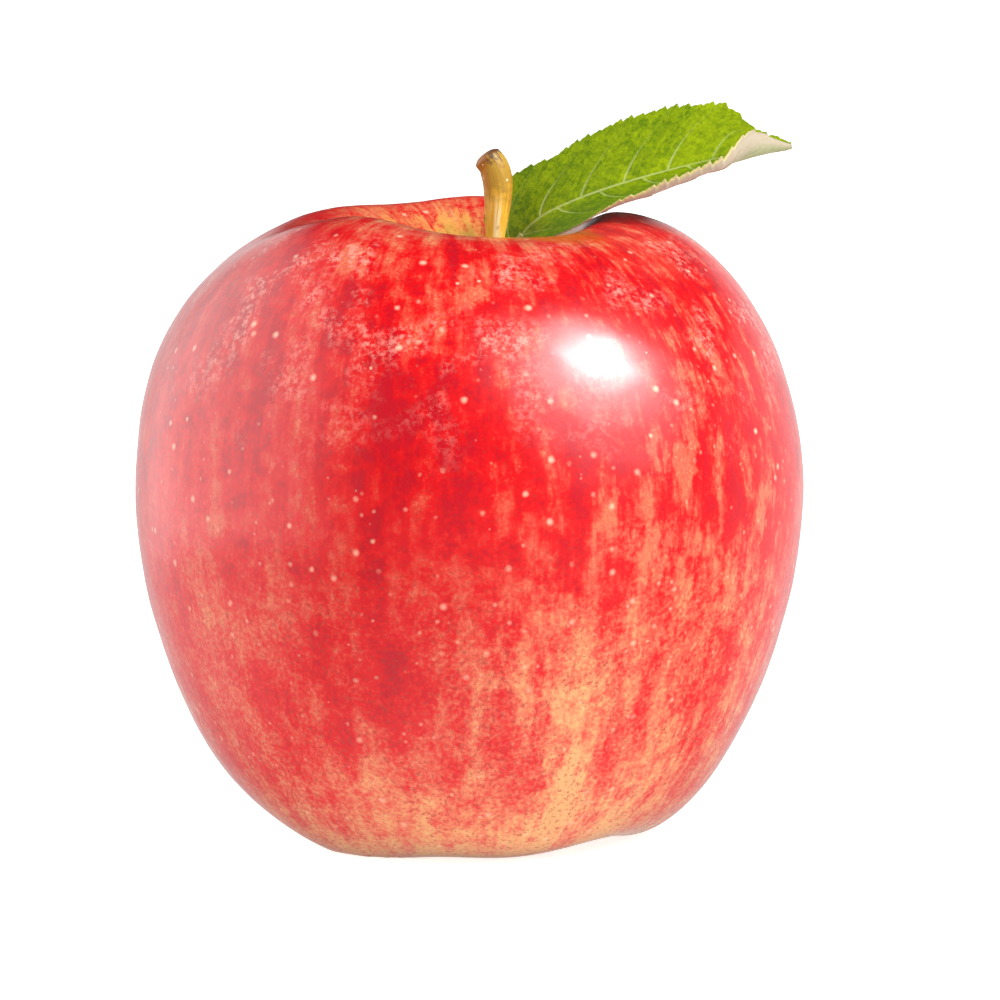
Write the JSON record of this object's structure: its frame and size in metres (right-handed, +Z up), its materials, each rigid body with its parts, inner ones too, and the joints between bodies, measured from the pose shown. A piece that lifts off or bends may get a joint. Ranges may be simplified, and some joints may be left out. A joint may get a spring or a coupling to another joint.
{
  "type": "red apple",
  "caption": "Whole red apple with lobed shoulders and base, a woody stem set in its hollow, a folded toothed leaf and a dried calyx underneath; stands on its lobes.",
  "frame": {"origin": "under the middle of the fruit, on the surface it stands on", "axes": "+Z up along the fruit's core line, towards the stem; -Y is the front that the picture shows; the leaf points to +X"},
  "size_m": [0.076, 0.076, 0.0832],
  "materials": {
    "skin": "smooth waxy skin, streaked red over yellow",
    "stem": "smooth bark, golden to brown",
    "leaf": "satin green above, pale and felted below",
    "calyx": "dry and matt"
  },
  "bodies": {
    "root": {"fruit": "skin", "stem": "stem", "leaf": "leaf", "calyx": "calyx"}
  },
  "joints": []
}
